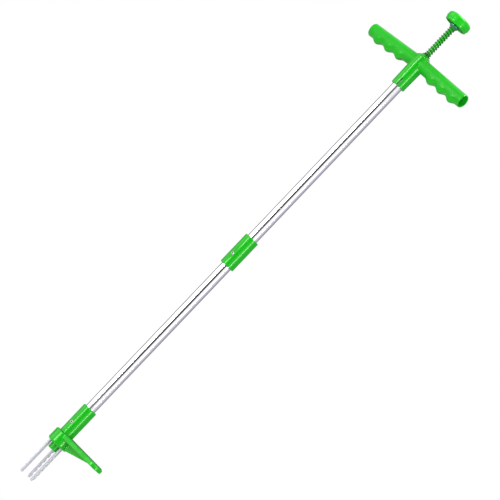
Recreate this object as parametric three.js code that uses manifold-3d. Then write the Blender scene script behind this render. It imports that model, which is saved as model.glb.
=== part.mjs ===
// Stand up weeder: a long tube shaft with a T handle on top, a foot pedal and three claws below,
// and a spring-returned push rod that runs down the shaft and ejects the weed from the claws.
// Millimetres, +Z up the shaft. The origin is where the handle's cross bar meets the shaft.
import * as THREE from "three";
import { mergeVertices } from "three/addons/utils/BufferGeometryUtils.js";
import Module from "manifold-3d";

const wasm = await Module();
wasm.setup();

// ---- driving dimensions ----

const GAP = 0.3; // room between two pieces that meet
const FINE = 28; // sides of the large round pieces
const COARSE = 16; // sides of the small round pieces

const TUBE_R = 8;
const TUBE_BORE = 6.8;
const ROD_R = 2;
const STEM_R = 3.7;
const STEM_FIT = 0.4; // room round the stem where it slides

// heights along the shaft, from the top down
const KNOB_TOP = 85.8;
const KNOB_RIM = 71.8;
const CUP_TOP = 72.2;
const SPRING_TOP = 67.1;
const BOSS_TOP = 13.9;
const TUBE_TOP = -9.2;
const COLLAR_END = -43.6;
const COUPLING_TOP = -333.7;
const COUPLING_END = -385.1;
const SOCKET_TOP = -654.7;
const PEDAL_TOP = -702.6;
const TUBE_END = -692.2;
const HUB_END = -721.8;
const EJECTOR_END = -730.7;
const CLAW_TIP = -780.7;
const CUT = 1; // how far a cutting shape runs past the face that it opens

// handle bar
const BAR_HALF = 93.5;
const BAR_R = 10;
const BAR_DROOP = 2; // degrees, each half
const BAR_BORE = 8.5;
const BAR_BORE_START = 14;
const GRIP_PITCH = 21.4;
const GRIP_FIRST = 33;
const GRIP_DEPTH = 3.9;
const GRIP_SHARPNESS = 1.2; // above 1 the bumps are narrower than the hollows
const COLLAR_R = 11.5;
const COLLAR_END_R = 10.9;
const BOSS_R = 6.2;
const SHOULDER = 4.7; // the cone's height between collar and boss
const SLOT_W = 2.2;
const SLOT_L = 12;
const SLOT_TURN = 20; // degrees, the first of the four collar slots

// knob and spring
const KNOB_R = 18.9;
const KNOB_ROUND = 8.7; // the radius of its upper edge
const KNOB_BORE_DEPTH = 5; // from the knob's top to the top of the stem
const KNOB_BAND = 3.2; // height of the band under the rounded edge
const KNOB_BAND_LEAN = 0.6;
const KNOB_RIM_IN = 1.8; // the rim's outer edge, in from the band
const KNOB_RIM_W = 1.8;
const KNOB_HOLLOW = 3; // how far its underside lies above the rim
const KNOB_HOLLOW_LEAN = 1;
const NECK_ROOM = 0.8; // room round the cup inside the knob
const CUP_R = 7.4;
const CUP_END_R = 5.6;
const CUP_LIP = 1.6;
const SPRING_R = 4.5;
const WIRE_R = 0.5;
const SPRING_TURNS = 13;
const WASHER_R = 5.8;
const WASHER_THICK = 1;

// coupling and socket
const COUPLING_R = 11.1;
const COUPLING_EDGE = 2; // the size of its rounded corners
const SOCKET_R = 11;
const SOCKET_EDGE = 2.6;
const SOCKET_SPIGOT_R = 9.7;
const SPIGOT_DEPTH = 4.6;
const COUPLING_SCREW_Z = -366.5;
const HEAD_SCREW_Z = -684.4;
const HANDLE_SCREW_Z = -27.2;
const COUPLING_SCREW_TURN = -90; // degrees from +X
const HEAD_SCREW_TURN = -98;
const HANDLE_SCREW_TURN = 90;

// pedal
const HUB_R = 16;
const HUB_LEDGE = 1.8; // how far the hub stands out past the deck's own outline
const HUB_TOP_EDGE = 2.2;
const HUB_LOW_EDGE = 2.4;
const PEDAL_TIP_R = 13;
const PEDAL_TIP_X = 67;
const PEDAL_ROOT_SIDE = 6.8;
const PEDAL_TIP_SIDE = 6.0;
const PEDAL_SKIN = 2.6;
const PEDAL_RIM = 2.2;
const GUSSET_X = 59;
const GUSSET_THICK = 3.4;
const GUSSET_FOOT = 1.5; // how far above the hub's lower end it starts
const GUSSET_ROOT = HUB_R - 2;
const TREAD_RISE = 0.8; // the raised area that the foot stands on
const TREAD_INSET = 2;
const TREAD_START = 12; // its distance from the axis, just clear of the socket
const TREAD_BACK = 6; // where it ends behind the socket's front half

// ejector
const EJECTOR_R = 7.3;
const EJECTOR_FIT = 0.3;
const EJECTOR_NECK_R = 5.6;
const EJECTOR_NECK_Z = -698.2;
const EJECTOR_CONE = 1.6; // the height of the slope up to the neck
const EJECTOR_CHAMFER = 1;
const EJECTOR_TOP = -656.2;
const ROD_END = -713.2;
const EJECTOR_SCREW_R = 3.4; // its head
const EJECTOR_SCREW_DEPTH = 3.6; // how far up its seat lies in the ejector
const EJECTOR_BORE = 2.2;

// claws: an angle section, with teeth along one flank's free edge
const CLAW_COUNT = 3;
const CLAW_R = 8.35; // the inner corner's distance from the axis
const CLAW_TOP = -709.2;
const CLAW_TURN = -11; // degrees, the first claw from +X
const TOOTH_FLANK = 4.6;
const PLAIN_FLANK = 5.2;
const CLAW_THICK = 1.2;
const TOOTH_FLANK_TURN = -25; // degrees from the outward direction
const PLAIN_FLANK_TURN = 35;
const TOOTH_COUNT = 5;
const TOOTH_PITCH = 8.8;
const TOOTH_DEPTH = 1.9;
const TOOTH_SLOPE = 3.4; // height of a notch's slanted face
const TOOTH_GAP = 1.4; // height of a notch's straight face
const TOOTH_FIRST_Z = -735.2;

const rad = THREE.MathUtils.degToRad;

// ---- solids: closed three.js geometry to manifold-3d and back ----

function solid(geometry) {
  const bare = geometry.index ? geometry.toNonIndexed() : geometry.clone();
  bare.deleteAttribute("normal");
  bare.deleteAttribute("uv");
  const merged = mergeVertices(bare, 1e-4);
  const position = merged.getAttribute("position");
  const triangles = [];
  for (let i = 0; i < merged.index.count; i += 3) {
    const [a, b, c] = [0, 1, 2].map((k) => merged.index.getX(i + k));
    if (a !== b && b !== c && c !== a) {
      triangles.push(a, b, c);
    }
  }
  if (signedVolume(position, triangles) < 0) {
    triangles.reverse();
  }
  return new wasm.Manifold(new wasm.Mesh({
    numProp: 3,
    vertProperties: new Float32Array(position.array),
    triVerts: new Uint32Array(triangles),
  }));
}

function signedVolume(position, triangles) {
  const [a, b, c] = [new THREE.Vector3(), new THREE.Vector3(), new THREE.Vector3()];
  let total = 0;
  for (let i = 0; i < triangles.length; i += 3) {
    a.fromBufferAttribute(position, triangles[i]);
    b.fromBufferAttribute(position, triangles[i + 1]);
    c.fromBufferAttribute(position, triangles[i + 2]);
    total += a.dot(b.cross(c)) / 6;
  }
  return total;
}

function toGeometry(manifold) {
  const mesh = manifold.getMesh();
  const geometry = new THREE.BufferGeometry();
  geometry.setAttribute("position", new THREE.BufferAttribute(mesh.vertProperties, 3));
  geometry.setIndex(new THREE.BufferAttribute(mesh.triVerts, 1));
  geometry.computeVertexNormals();
  return geometry;
}

// ---- shape helpers, all with +Z as the round pieces' axis ----

// a round piece from (radius, height) points; the outline starts and ends on the axis or closes itself
function turned(points, sides = FINE) {
  const outline = points.map(([r, z]) => new THREE.Vector2(r, z));
  if (points[0][0] > 0) {
    outline.push(outline[0].clone());
  }
  return solid(new THREE.LatheGeometry(outline, sides).rotateX(Math.PI / 2));
}

function tubePiece(outer, inner, low, high, sides = FINE, chamfer = 0) {
  return turned([
    [inner, low],
    [outer - chamfer, low],
    [outer, low + chamfer],
    [outer, high - chamfer],
    [outer - chamfer, high],
    [inner, high],
  ].filter((p, i, all) => i === 0 || p[0] !== all[i - 1][0] || p[1] !== all[i - 1][1]), sides);
}

// the three points that round off a turned piece's outer corner; into is 1 or -1, the way into the piece
function corner(radius, z, size, into) {
  return [[radius - size, z], [radius - 0.3 * size, z + 0.3 * size * into], [radius, z + size * into]];
}

function rod(radius, low, high, sides = COARSE) {
  return turned([[0, low], [radius, low], [radius, high], [0, high]], sides);
}

function box(x0, x1, y0, y1, z0, z1) {
  const shape = new THREE.BoxGeometry(x1 - x0, y1 - y0, z1 - z0);
  return solid(shape.translate((x0 + x1) / 2, (y0 + y1) / 2, (z0 + z1) / 2));
}

function plate(shape, low, high) {
  const depth = high - low;
  const flat = new THREE.ExtrudeGeometry(shape, { depth, bevelEnabled: false, curveSegments: 10 });
  return solid(flat.translate(0, 0, low));
}

function outline(points) {
  return new THREE.Shape(points.map(([x, y]) => new THREE.Vector2(x, y)));
}

// a round part lying along a direction in the XY plane, from one distance to another
function radialRod(radius, from, to, turnDegrees, z, sides = COARSE) {
  return rod(radius, from, to, sides).rotate([0, 90, 0]).rotate([0, 0, turnDegrees]).translate([0, 0, z]);
}

// an arc of (radius, height) points for a turned outline
function arc(centreR, centreZ, radius, fromDegrees, toDegrees, steps) {
  const points = [];
  for (let i = 0; i <= steps; i++) {
    const turn = rad(fromDegrees + ((toDegrees - fromDegrees) * i) / steps);
    points.push([centreR + radius * Math.cos(turn), centreZ + radius * Math.sin(turn)]);
  }
  return points;
}

// ---- the object ----

const weeder = new THREE.Group();

const green = { color: 0x32c832, roughness: 0.35, metalness: 0 };
const knobGreen = { color: 0x14d61e, roughness: 0.35, metalness: 0 };
const bushWhite = { color: 0xd8d8d2, roughness: 0.5, metalness: 0 };
const polished = { color: 0xdcdce0, roughness: 0.12, metalness: 1 };
const darkSteel = { color: 0x4a5052, roughness: 0.4, metalness: 1 };
const rodSteel = { color: 0x9a9da0, roughness: 0.35, metalness: 1 };

function add(name, manifold, finish) {
  const mesh = new THREE.Mesh(toGeometry(manifold), new THREE.MeshStandardMaterial(finish));
  mesh.name = name;
  weeder.add(mesh);
}

// ---- T handle: hollow bar with finger grips, boss, collar with four slots ----

function gripDepth(x) {
  const lastBump = GRIP_FIRST + 2 * GRIP_PITCH;
  const inGrips = x > GRIP_FIRST - GRIP_PITCH / 2 && x < lastBump + GRIP_PITCH / 2;
  const wave = inGrips ? 0.5 + 0.5 * Math.cos((2 * Math.PI * (x - GRIP_FIRST)) / GRIP_PITCH) : 0;
  return GRIP_DEPTH * wave ** GRIP_SHARPNESS;
}

const BAR_SIDES = 22;
const BAR_STEPS = 27; // rings along one half

// one half of the bar along +X: a round section whose underside follows the grips
function barHalf() {
  const bar = new THREE.CylinderGeometry(BAR_R, BAR_R, BAR_HALF, BAR_SIDES, BAR_STEPS);
  bar.rotateZ(-Math.PI / 2).translate(BAR_HALF / 2, 0, 0);
  const position = bar.getAttribute("position");
  for (let i = 0; i < position.count; i++) {
    const z = position.getZ(i);
    if (z < 0) {
      position.setZ(i, z * (1 + gripDepth(position.getX(i)) / BAR_R));
    }
  }
  return solid(bar);
}

function tHandle() {
  const collar = turned([
    [0, COLLAR_END],
    [COLLAR_END_R, COLLAR_END],
    [COLLAR_R, -BAR_R],
    [COLLAR_R, BOSS_TOP - SHOULDER],
    [BOSS_R, BOSS_TOP],
    [0, BOSS_TOP],
  ]);
  let handle = collar;
  let hollow = rod(TUBE_R + GAP, COLLAR_END - CUT, TUBE_TOP + GAP, FINE);
  hollow = hollow.add(rod(STEM_R + STEM_FIT, TUBE_TOP, BOSS_TOP + CUT));
  for (const side of [0, 180]) {
    handle = handle.add(barHalf().rotate([0, BAR_DROOP, 0]).rotate([0, 0, side]));
    const core = rod(BAR_BORE, BAR_BORE_START, BAR_HALF + CUT, BAR_SIDES).rotate([0, 90 + BAR_DROOP, 0]);
    hollow = hollow.add(core.rotate([0, 0, side]));
  }
  for (let i = 0; i < 4; i++) {
    const slot = box(TUBE_R, COLLAR_R + CUT, -SLOT_W / 2, SLOT_W / 2, COLLAR_END - CUT, COLLAR_END + SLOT_L);
    hollow = hollow.add(slot.rotate([0, 0, SLOT_TURN + 90 * i]));
  }
  hollow = hollow.add(screwHole(HANDLE_SCREW_TURN, HANDLE_SCREW_Z, COLLAR_R));
  return handle.subtract(hollow);
}

// ---- screws through a sleeve into the tube's wall, and the holes that they need ----

const SCREW_SHANK_R = 1.4;
const SCREW_SHANK_SIDES = 12;
const SCREW_CAP_R = 2.1;
const SCREW_CAP_H = 1.1;
const SCREW_SINK = 0.6; // how deep the cap's seat lies below the sleeve's face
const SCREW_SOCKET_R = 0.9;
const SCREW_SOCKET_DEPTH = 0.7;
const SCREW_TIP = TUBE_BORE - 0.4;

function screw(turnDegrees, z, sleeveR) {
  const seat = sleeveR - SCREW_SINK;
  const face = seat + SCREW_CAP_H;
  const shank = radialRod(SCREW_SHANK_R, SCREW_TIP, face, turnDegrees, z, SCREW_SHANK_SIDES);
  const cap = radialRod(SCREW_CAP_R, seat, face, turnDegrees, z);
  const socket = radialRod(SCREW_SOCKET_R, face - SCREW_SOCKET_DEPTH, face + CUT, turnDegrees, z, 6);
  return shank.add(cap).subtract(socket);
}

function shankHole(turnDegrees, z, outer) {
  return radialRod(SCREW_SHANK_R + GAP, TUBE_BORE - CUT, outer, turnDegrees, z, SCREW_SHANK_SIDES);
}

function screwHole(turnDegrees, z, sleeveR) {
  const seat = sleeveR - SCREW_SINK - GAP;
  return shankHole(turnDegrees, z, seat + CUT)
    .add(radialRod(SCREW_CAP_R + GAP, seat, sleeveR + CUT, turnDegrees, z));
}

// ---- tubes ----

function tube(low, high, holes) {
  let piece = tubePiece(TUBE_R, TUBE_BORE, low, high);
  for (const [turn, z] of holes) {
    piece = piece.subtract(shankHole(turn, z, TUBE_R + CUT));
  }
  return piece;
}

const COUPLING_MID = (COUPLING_TOP + COUPLING_END) / 2;
const RIB_HALF = 0.8; // the inner rib that both tubes stop at
const UPPER_TUBE_END = COUPLING_MID + RIB_HALF + GAP;
const LOWER_TUBE_TOP = COUPLING_MID - RIB_HALF - GAP;

function tubeCoupling() {
  const outer = turned([
    [0, COUPLING_END],
    ...corner(COUPLING_R, COUPLING_END, COUPLING_EDGE, 1),
    ...corner(COUPLING_R, COUPLING_TOP, COUPLING_EDGE, -1).reverse(),
    [0, COUPLING_TOP],
  ]);
  return outer
    .subtract(rod(TUBE_R + GAP, COUPLING_MID + RIB_HALF, COUPLING_TOP + CUT, FINE))
    .subtract(rod(TUBE_R + GAP, COUPLING_END - CUT, COUPLING_MID - RIB_HALF, FINE))
    .subtract(rod(TUBE_BORE, COUPLING_END, COUPLING_TOP, FINE))
    .subtract(screwHole(COUPLING_SCREW_TURN, COUPLING_SCREW_Z, COUPLING_R));
}

// ---- head: socket on the tube's end, pedal with its hub, claws ----

function headSocket() {
  const body = turned([
    [0, PEDAL_TOP - SPIGOT_DEPTH],
    [SOCKET_SPIGOT_R, PEDAL_TOP - SPIGOT_DEPTH],
    [SOCKET_SPIGOT_R, PEDAL_TOP + GAP],
    [SOCKET_R, PEDAL_TOP + GAP],
    ...corner(SOCKET_R, SOCKET_TOP, SOCKET_EDGE, -1).reverse(),
    [0, SOCKET_TOP],
  ]);
  return body
    .subtract(rod(TUBE_R + GAP, TUBE_END - GAP, SOCKET_TOP + CUT, FINE))
    .subtract(rod(EJECTOR_R + EJECTOR_FIT, HUB_END, SOCKET_TOP, FINE))
    .subtract(screwHole(HEAD_SCREW_TURN, HEAD_SCREW_Z, SOCKET_R));
}

// the pedal seen from above: the hub's circle and the tip's circle with their outer tangents
function pedalOutline(inset, hubInset = inset) {
  const hub = HUB_R - hubInset;
  const tip = PEDAL_TIP_R - inset;
  const lean = Math.acos((hub - tip) / PEDAL_TIP_X);
  const shape = new THREE.Shape();
  shape.absarc(0, 0, hub, lean, 2 * Math.PI - lean, false);
  shape.absarc(PEDAL_TIP_X, 0, tip, -lean, lean, false);
  return shape;
}

function footPedal() {
  const hub = turned([
    [0, HUB_END],
    ...corner(HUB_R, HUB_END, HUB_LOW_EDGE, 1),
    ...corner(HUB_R, PEDAL_TOP, HUB_TOP_EDGE, -1).reverse(),
    [0, PEDAL_TOP],
  ]);
  const deck = plate(pedalOutline(0, HUB_LEDGE), PEDAL_TOP - PEDAL_ROOT_SIDE, PEDAL_TOP);
  const recess = pedalOutline(PEDAL_RIM, HUB_LEDGE + PEDAL_RIM);
  const under = plate(recess, PEDAL_TOP - PEDAL_ROOT_SIDE - CUT, PEDAL_TOP - PEDAL_SKIN);
  const rise = Math.atan((PEDAL_ROOT_SIDE - PEDAL_TIP_SIDE) / PEDAL_TIP_X);
  const taper = box(-HUB_R, 2 * PEDAL_TIP_X, -2 * HUB_R, 2 * HUB_R, -HUB_R, 0)
    .rotate([0, -THREE.MathUtils.radToDeg(rise), 0])
    .translate([0, 0, PEDAL_TOP - PEDAL_ROOT_SIDE]);
  const side = outline([
    [0, HUB_END + GUSSET_FOOT],
    [GUSSET_ROOT, HUB_END + GUSSET_FOOT],
    [GUSSET_X, PEDAL_TOP - PEDAL_TIP_SIDE],
    [GUSSET_X, PEDAL_TOP - CUT],
    [0, PEDAL_TOP - CUT],
  ]);
  const web = new THREE.ExtrudeGeometry(side, { depth: GUSSET_THICK, bevelEnabled: false });
  const gusset = solid(web.translate(0, 0, -GUSSET_THICK / 2).rotateX(Math.PI / 2));
  const treadShape = pedalOutline(TREAD_INSET, HUB_LEDGE + TREAD_INSET);
  const tread = plate(treadShape, PEDAL_TOP - CUT, PEDAL_TOP + TREAD_RISE)
    .subtract(rod(TREAD_START, PEDAL_TOP - 2 * CUT, PEDAL_TOP + TREAD_RISE + CUT, FINE))
    .subtract(box(-HUB_R, TREAD_BACK, -HUB_R, HUB_R, PEDAL_TOP, PEDAL_TOP + TREAD_RISE + CUT));
  let pedal = deck.subtract(under).subtract(taper).add(hub).add(gusset).add(tread)
    .subtract(rod(SOCKET_SPIGOT_R + GAP, PEDAL_TOP - SPIGOT_DEPTH - GAP, PEDAL_TOP + CUT, FINE))
    .subtract(rod(EJECTOR_R + EJECTOR_FIT, HUB_END - CUT, PEDAL_TOP, FINE));
  for (let i = 0; i < CLAW_COUNT; i++) {
    const pocket = plate(clawSection(GAP), HUB_END - CUT, CLAW_TOP + GAP);
    pedal = pedal.subtract(pocket.rotate([0, 0, clawTurn(i)]));
  }
  return pedal;
}

// the claw's section: two flanks that open outwards from the corner; grow makes room around it
function clawSection(grow) {
  const along = (turn, far) => [far * Math.cos(rad(turn)), far * Math.sin(rad(turn))];
  const half = (PLAIN_FLANK_TURN - TOOTH_FLANK_TURN) / 2;
  const middle = (PLAIN_FLANK_TURN + TOOTH_FLANK_TURN) / 2;
  const backOff = grow / Math.sin(rad(half));
  const corner = [CLAW_R - backOff * Math.cos(rad(middle)), -backOff * Math.sin(rad(middle))];
  const from = ([x, y], ...moves) => moves.reduce(([a, b], [dx, dy]) => [a + dx, b + dy], [x, y]);
  const toothReach = TOOTH_FLANK + 3 * grow;
  const plainReach = PLAIN_FLANK + 3 * grow;
  const thick = CLAW_THICK + 2 * grow;
  return outline([
    corner,
    from(corner, along(TOOTH_FLANK_TURN, toothReach)),
    from(corner, along(TOOTH_FLANK_TURN, toothReach), along(TOOTH_FLANK_TURN + 90, thick)),
    from(corner, along(middle, thick / Math.sin(rad(half)))),
    from(corner, along(PLAIN_FLANK_TURN, plainReach), along(PLAIN_FLANK_TURN - 90, thick)),
    from(corner, along(PLAIN_FLANK_TURN, plainReach)),
  ]);
}

const clawTurn = (i) => CLAW_TURN + (360 / CLAW_COUNT) * i;

// the cone that takes the tip's corners off: how wide the claw may be at some heights over its end
const TIP_CONE = [[0, 1.2], [4.5, 3.4], [20, 8]];

// the notch's cutting shape: how far it runs out past the flank's edge, and to each side of the flank
const NOTCH_OUT = 2;
const NOTCH_HALF = 3;

function claw() {
  const cone = TIP_CONE.map(([height, radius]) => [radius, CLAW_TIP + height]);
  const [widest] = cone[cone.length - 1];
  const envelope = turned([[0, CLAW_TIP], ...cone, [widest, CLAW_TOP + CUT], [0, CLAW_TOP + CUT]], COARSE);
  let piece = plate(clawSection(0), CLAW_TIP, CLAW_TOP)
    .intersect(envelope.translate([CLAW_R + TOOTH_FLANK / 2, 0, 0]));
  const notch = outline([
    [-TOOTH_DEPTH, 0],
    [NOTCH_OUT, -TOOTH_SLOPE],
    [NOTCH_OUT, TOOTH_GAP],
    [0, TOOTH_GAP],
  ]);
  for (let i = 0; i < TOOTH_COUNT; i++) {
    const cut = new THREE.ExtrudeGeometry(notch, { depth: 2 * NOTCH_HALF, bevelEnabled: false });
    cut.translate(TOOTH_FLANK, 0, -NOTCH_HALF).rotateX(Math.PI / 2);
    cut.rotateZ(rad(TOOTH_FLANK_TURN)).translate(CLAW_R, 0, TOOTH_FIRST_Z - TOOTH_PITCH * i);
    piece = piece.subtract(solid(cut));
  }
  return piece;
}

// ---- return spring: a left-handed helix of round wire ----

class SpringPath extends THREE.Curve {
  constructor(low, high) {
    super();
    this.low = low + WIRE_R;
    this.rise = high - low - 2 * WIRE_R;
  }

  getPoint(t, target = new THREE.Vector3()) {
    const turn = 2 * Math.PI * SPRING_TURNS * t;
    return target.set(SPRING_R * Math.cos(turn), -SPRING_R * Math.sin(turn), this.low + this.rise * t);
  }
}

function returnSpring() {
  const section = new THREE.Shape();
  section.absarc(0, 0, WIRE_R, 0, 2 * Math.PI, false);
  const wire = new THREE.ExtrudeGeometry(section, {
    steps: SPRING_TURNS * 12,
    curveSegments: 3,
    bevelEnabled: false,
    extrudePath: new SpringPath(BOSS_TOP + GAP + WASHER_THICK + GAP, SPRING_TOP),
  });
  return solid(wire);
}

// ---- push group: knob, cup, stem, rods, ejector ----

const STEM_TOP = KNOB_TOP - KNOB_BORE_DEPTH - GAP;

function pushKnob() {
  const hollowEdge = KNOB_R - KNOB_RIM_IN - KNOB_RIM_W;
  return turned([
    [0, KNOB_TOP],
    ...arc(KNOB_R - KNOB_ROUND, KNOB_TOP - KNOB_ROUND, KNOB_ROUND, 90, 0, 6),
    [KNOB_R, KNOB_RIM + KNOB_BAND],
    [KNOB_R - KNOB_BAND_LEAN, KNOB_RIM + KNOB_BAND_LEAN],
    [KNOB_R - KNOB_RIM_IN, KNOB_RIM],
    [hollowEdge, KNOB_RIM],
    [hollowEdge - KNOB_HOLLOW_LEAN, KNOB_RIM + KNOB_HOLLOW],
    [CUP_R + NECK_ROOM, KNOB_RIM + KNOB_HOLLOW],
    [CUP_R + NECK_ROOM, CUP_TOP + GAP],
    [STEM_R + GAP, CUP_TOP + GAP],
    [STEM_R + GAP, STEM_TOP + GAP],
    [0, STEM_TOP + GAP],
  ]);
}

const springCup = () => turned([
  [STEM_R + GAP, SPRING_TOP + GAP],
  [CUP_END_R, SPRING_TOP + GAP],
  [CUP_R, CUP_TOP - CUP_LIP],
  [CUP_R, CUP_TOP],
  [STEM_R + GAP, CUP_TOP],
], COARSE);

const BUSH_R = TUBE_BORE - GAP;
const HANDLE_BUSH_END = -29.2;
const BUSH_NOTCH_ROOM = 1; // room round the screw's shank in the handle's bush
const BUSH_NOTCH_DEPTH = 1.2; // how far the notch runs in past the screw's tip
const CLIP_R = 5.6;
const CLIP_TOP = HANDLE_BUSH_END - GAP;
const CLIP_END = CLIP_TOP - 1.8;
const COUPLER_R = 4.2;
const COUPLER_CHAMFER = 0.6;
const COUPLER_TOP = -342.2;
const COUPLER_END = -374.2;
const ROD_SPLIT = -358.2;
const MIDDLE_BUSH_LENGTH = 14;
const HEAD_BUSH_LENGTH = 16;
const HEAD_BUSH_END = EJECTOR_TOP + 2;

function ejector() {
  const seat = EJECTOR_END + EJECTOR_SCREW_DEPTH;
  return turned([
    [EJECTOR_BORE, seat],
    [EJECTOR_SCREW_R + GAP, seat],
    [EJECTOR_SCREW_R + GAP, EJECTOR_END],
    [EJECTOR_R - EJECTOR_CHAMFER, EJECTOR_END],
    [EJECTOR_R, EJECTOR_END + EJECTOR_CHAMFER],
    [EJECTOR_R, EJECTOR_NECK_Z - EJECTOR_CONE],
    [EJECTOR_NECK_R, EJECTOR_NECK_Z],
    [EJECTOR_NECK_R, EJECTOR_TOP],
    [ROD_R + GAP, EJECTOR_TOP],
    [ROD_R + GAP, ROD_END - GAP],
    [EJECTOR_BORE, ROD_END - GAP],
  ]);
}

const ROD_THREAD_R = 1; // the screw's upper end, inside the rod
const ROD_THREAD_LENGTH = 8;
const DRIVE_SLOT_HALF = 0.5;
const DRIVE_SLOT_DEPTH = 1;

function ejectorScrew() {
  const seat = EJECTOR_END + EJECTOR_SCREW_DEPTH - GAP;
  const headEnd = EJECTOR_END + 1;
  const reach = EJECTOR_SCREW_R + CUT;
  const slotEnd = headEnd + DRIVE_SLOT_DEPTH;
  return rod(ROD_THREAD_R, seat, ROD_END + ROD_THREAD_LENGTH, SCREW_SHANK_SIDES)
    .add(rod(EJECTOR_BORE - GAP, headEnd, ROD_END - GAP, SCREW_SHANK_SIDES))
    .add(rod(EJECTOR_SCREW_R, headEnd, seat))
    .subtract(box(-reach, reach, -DRIVE_SLOT_HALF, DRIVE_SLOT_HALF, EJECTOR_END, slotEnd));
}

// the rod's bottom end takes the ejector's screw
const lowerRod = () => rod(ROD_R, ROD_END, ROD_SPLIT - GAP)
  .subtract(rod(ROD_THREAD_R + GAP, ROD_END - CUT, ROD_END + ROD_THREAD_LENGTH + 2, SCREW_SHANK_SIDES));

// ---- bushes, washer, clip and coupler: plain rings round the stem or the rod ----

// the handle's bush has a notch that clears the handle screw's tip
function handleBush() {
  const from = SCREW_TIP - BUSH_NOTCH_DEPTH;
  const notch = radialRod(SCREW_SHANK_R + BUSH_NOTCH_ROOM, from, TUBE_R, HANDLE_SCREW_TURN, HANDLE_SCREW_Z);
  return tubePiece(BUSH_R, STEM_R + GAP, HANDLE_BUSH_END, TUBE_TOP - 1, COARSE).subtract(notch);
}

function springWasher() {
  const low = BOSS_TOP + GAP;
  return tubePiece(WASHER_R, STEM_R + STEM_FIT, low, low + WASHER_THICK, COARSE);
}

const ROD_BUSH_CHAMFER = 0.8;

function rodBush(low, length) {
  return tubePiece(BUSH_R, ROD_R + GAP, low, low + length, COARSE, ROD_BUSH_CHAMFER);
}

const stopClip = () => tubePiece(CLIP_R, ROD_R + GAP, CLIP_END, CLIP_TOP - GAP, COARSE);

function rodCoupler() {
  return tubePiece(COUPLER_R, ROD_R + GAP, COUPLER_END, COUPLER_TOP, COARSE, COUPLER_CHAMFER);
}

// ---- all the pieces ----

const HANDLE_SCREW_AT = [HANDLE_SCREW_TURN, HANDLE_SCREW_Z];
const COUPLING_SCREW_AT = [COUPLING_SCREW_TURN, COUPLING_SCREW_Z];
const HEAD_SCREW_AT = [HEAD_SCREW_TURN, HEAD_SCREW_Z];

add("t_handle", tHandle(), green);
add("handle_screw", screw(...HANDLE_SCREW_AT, COLLAR_R), polished);
add("handle_guide_bush", handleBush(), bushWhite);
add("spring_washer", springWasher(), darkSteel);
add("return_spring", returnSpring(), darkSteel);
add("upper_tube", tube(UPPER_TUBE_END, TUBE_TOP, [HANDLE_SCREW_AT]), polished);
add("middle_guide_bush", rodBush(COUPLING_TOP, MIDDLE_BUSH_LENGTH), bushWhite);
add("tube_coupling", tubeCoupling(), green);
add("coupling_screw", screw(...COUPLING_SCREW_AT, COUPLING_R), polished);
add("lower_tube", tube(TUBE_END, LOWER_TUBE_TOP, [COUPLING_SCREW_AT, HEAD_SCREW_AT]), polished);
add("head_guide_bush", rodBush(HEAD_BUSH_END, HEAD_BUSH_LENGTH), bushWhite);
add("head_socket", headSocket(), green);
add("head_screw", screw(...HEAD_SCREW_AT, SOCKET_R), polished);
add("foot_pedal", footPedal(), green);
for (let i = 0; i < CLAW_COUNT; i++) {
  add(`claw_${i + 1}`, claw().rotate([0, 0, clawTurn(i)]), polished);
}

add("push_knob", pushKnob(), knobGreen);
add("spring_cup", springCup(), darkSteel);
add("stem_sleeve", tubePiece(STEM_R, ROD_R + GAP, CLIP_TOP, STEM_TOP, COARSE), green);
add("upper_push_rod", rod(ROD_R, ROD_SPLIT + GAP, STEM_TOP), rodSteel);
add("stop_clip", stopClip(), darkSteel);
add("rod_coupler", rodCoupler(), rodSteel);
add("lower_push_rod", lowerRod(), rodSteel);
add("ejector", ejector(), knobGreen);
add("ejector_screw", ejectorScrew(), rodSteel);

export default weeder;
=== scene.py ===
import math

import bpy
from mathutils import Matrix, Vector


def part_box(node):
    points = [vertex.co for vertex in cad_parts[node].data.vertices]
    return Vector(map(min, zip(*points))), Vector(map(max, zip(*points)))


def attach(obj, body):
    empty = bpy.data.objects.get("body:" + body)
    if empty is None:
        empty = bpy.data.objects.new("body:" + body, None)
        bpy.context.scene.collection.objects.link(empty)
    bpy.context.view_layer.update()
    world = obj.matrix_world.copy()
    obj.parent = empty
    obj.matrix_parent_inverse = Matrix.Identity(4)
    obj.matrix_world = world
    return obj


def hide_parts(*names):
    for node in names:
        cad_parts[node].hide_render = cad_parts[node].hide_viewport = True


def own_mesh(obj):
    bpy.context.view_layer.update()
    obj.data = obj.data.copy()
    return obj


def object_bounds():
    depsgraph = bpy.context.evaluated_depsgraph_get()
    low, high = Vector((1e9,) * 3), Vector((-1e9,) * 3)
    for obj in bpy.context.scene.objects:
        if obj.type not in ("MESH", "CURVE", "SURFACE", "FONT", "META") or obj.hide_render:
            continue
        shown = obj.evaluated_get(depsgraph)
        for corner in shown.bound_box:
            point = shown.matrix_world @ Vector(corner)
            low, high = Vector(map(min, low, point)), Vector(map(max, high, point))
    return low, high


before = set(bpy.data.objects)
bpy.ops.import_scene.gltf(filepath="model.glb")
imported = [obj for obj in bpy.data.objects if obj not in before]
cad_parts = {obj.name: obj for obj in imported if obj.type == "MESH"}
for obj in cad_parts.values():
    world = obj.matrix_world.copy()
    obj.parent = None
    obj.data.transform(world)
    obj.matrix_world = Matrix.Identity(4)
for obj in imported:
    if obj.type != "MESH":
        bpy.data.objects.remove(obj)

CAD_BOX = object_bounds()

# Lengths are millimetres, turned into metres where a mesh is made. Only the bumps in the
# materials, the camera and the studio are in metres. Angles in named values are degrees.
MM = 0.001
FIT = 0.3  # room between two pieces that meet
PAST = 1.0  # how far a cutting tool reaches past the face that it opens

FRAME = "shaft_frame"
PUSHER = "pusher"

# ---- driving dimensions that the frame's boxes don't give ----

STEM_BORE = 4.0
STEM_ROOM = 0.1
ROD_BORE = 2.3
TUBE_BORE = 6.8
TUBE_R = 8.0

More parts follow.
